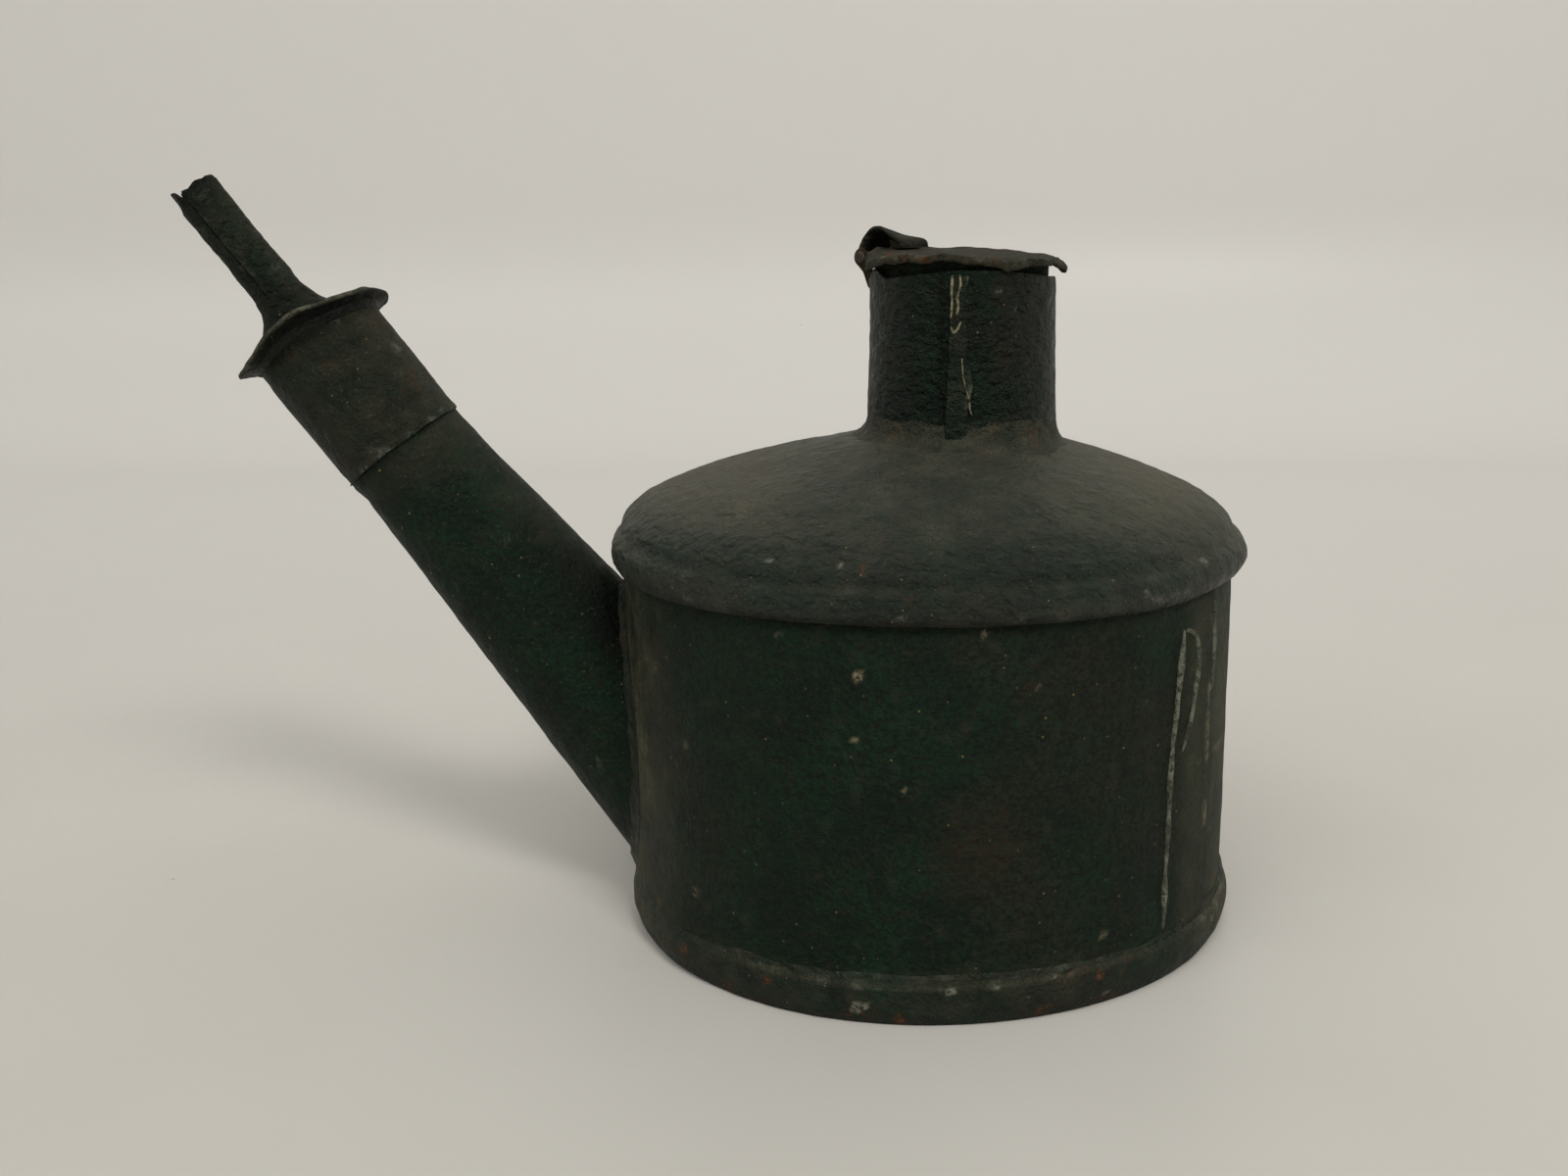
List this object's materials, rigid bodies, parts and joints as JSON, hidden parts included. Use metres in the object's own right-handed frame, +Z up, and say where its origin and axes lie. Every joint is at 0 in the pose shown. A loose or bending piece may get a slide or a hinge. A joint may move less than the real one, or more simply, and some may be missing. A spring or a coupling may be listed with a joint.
{
  "type": "spouted wick lamp",
  "caption": "Small round tinplate wick lamp with a domed oil tank, hinged filler lid, slanted conical spout and a slip-on burner with a rolled wick tube.",
  "frame": {"origin": "centre of the flat underside of the base pan, on the tank's axis", "axes": "+Z up along the tank's axis; the spout leans towards -X; +Y is the side away from the neck's seam"},
  "size_m": [0.1306, 0.0792, 0.0931],
  "materials": {
    "tank_paint": "old dark green paint over tinplate, matt with dirt in the grain",
    "spout_paint": "old dark green paint over tinplate, matt, dusty on the upper side",
    "dusty_paint": "dark green paint under an olive film of dust, bumpy",
    "base_paint": "dark green paint worn to rust at the bottom edge",
    "lid_paint": "dusty dark paint with rust at the edge",
    "painted_solder": "lumpy solder under the same dark paint",
    "pin_wire": "darkened iron wire",
    "wick_cotton": "twisted cotton, oily and charred at the top"
  },
  "bodies": {
    "tank": {"base_pan": "base_paint", "body_wall": "tank_paint", "body_seam_solder": "painted_solder", "base_solder": "painted_solder", "shoulder_dome": "dusty_paint", "shoulder_solder": "painted_solder", "filler_neck": "tank_paint", "neck_seam_solder": "painted_solder", "neck_solder": "painted_solder", "spout_tube": "spout_paint", "spout_seam_solder": "painted_solder", "spout_root_solder": "painted_solder", "hinge_bracket": "lid_paint", "hinge_pin": "pin_wire"},
    "lid": {"lid_disc": "lid_paint", "lid_plug_ring": "lid_paint", "lid_hinge_strap": "lid_paint", "lid_strap_solder": "painted_solder"},
    "burner": {"burner_sleeve": "spout_paint", "sleeve_seam_solder": "painted_solder", "drip_flange": "dusty_paint", "flange_solder": "painted_solder", "wick_tube": "spout_paint", "wick_tube_solder": "painted_solder"},
    "wick": {"wick": "wick_cotton"}
  },
  "joints": [
    {"name": "lid_hinge", "type": "hinge", "parent": "tank", "child": "lid", "pos_m": [-0.00583, 0.00773, 0.0822], "axis": [-0.6018, -0.7986, 0], "range_deg": [0, 130]},
    {"name": "burner_slide", "type": "slide", "parent": "tank", "child": "burner", "axis": [-0.5889, 0, 0.8082], "range_m": [0, 0.012]},
    {"name": "wick_feed", "type": "slide", "parent": "burner", "child": "wick", "axis": [-0.5889, 0, 0.8082], "range_m": [-0.003, 0.006]}
  ]
}
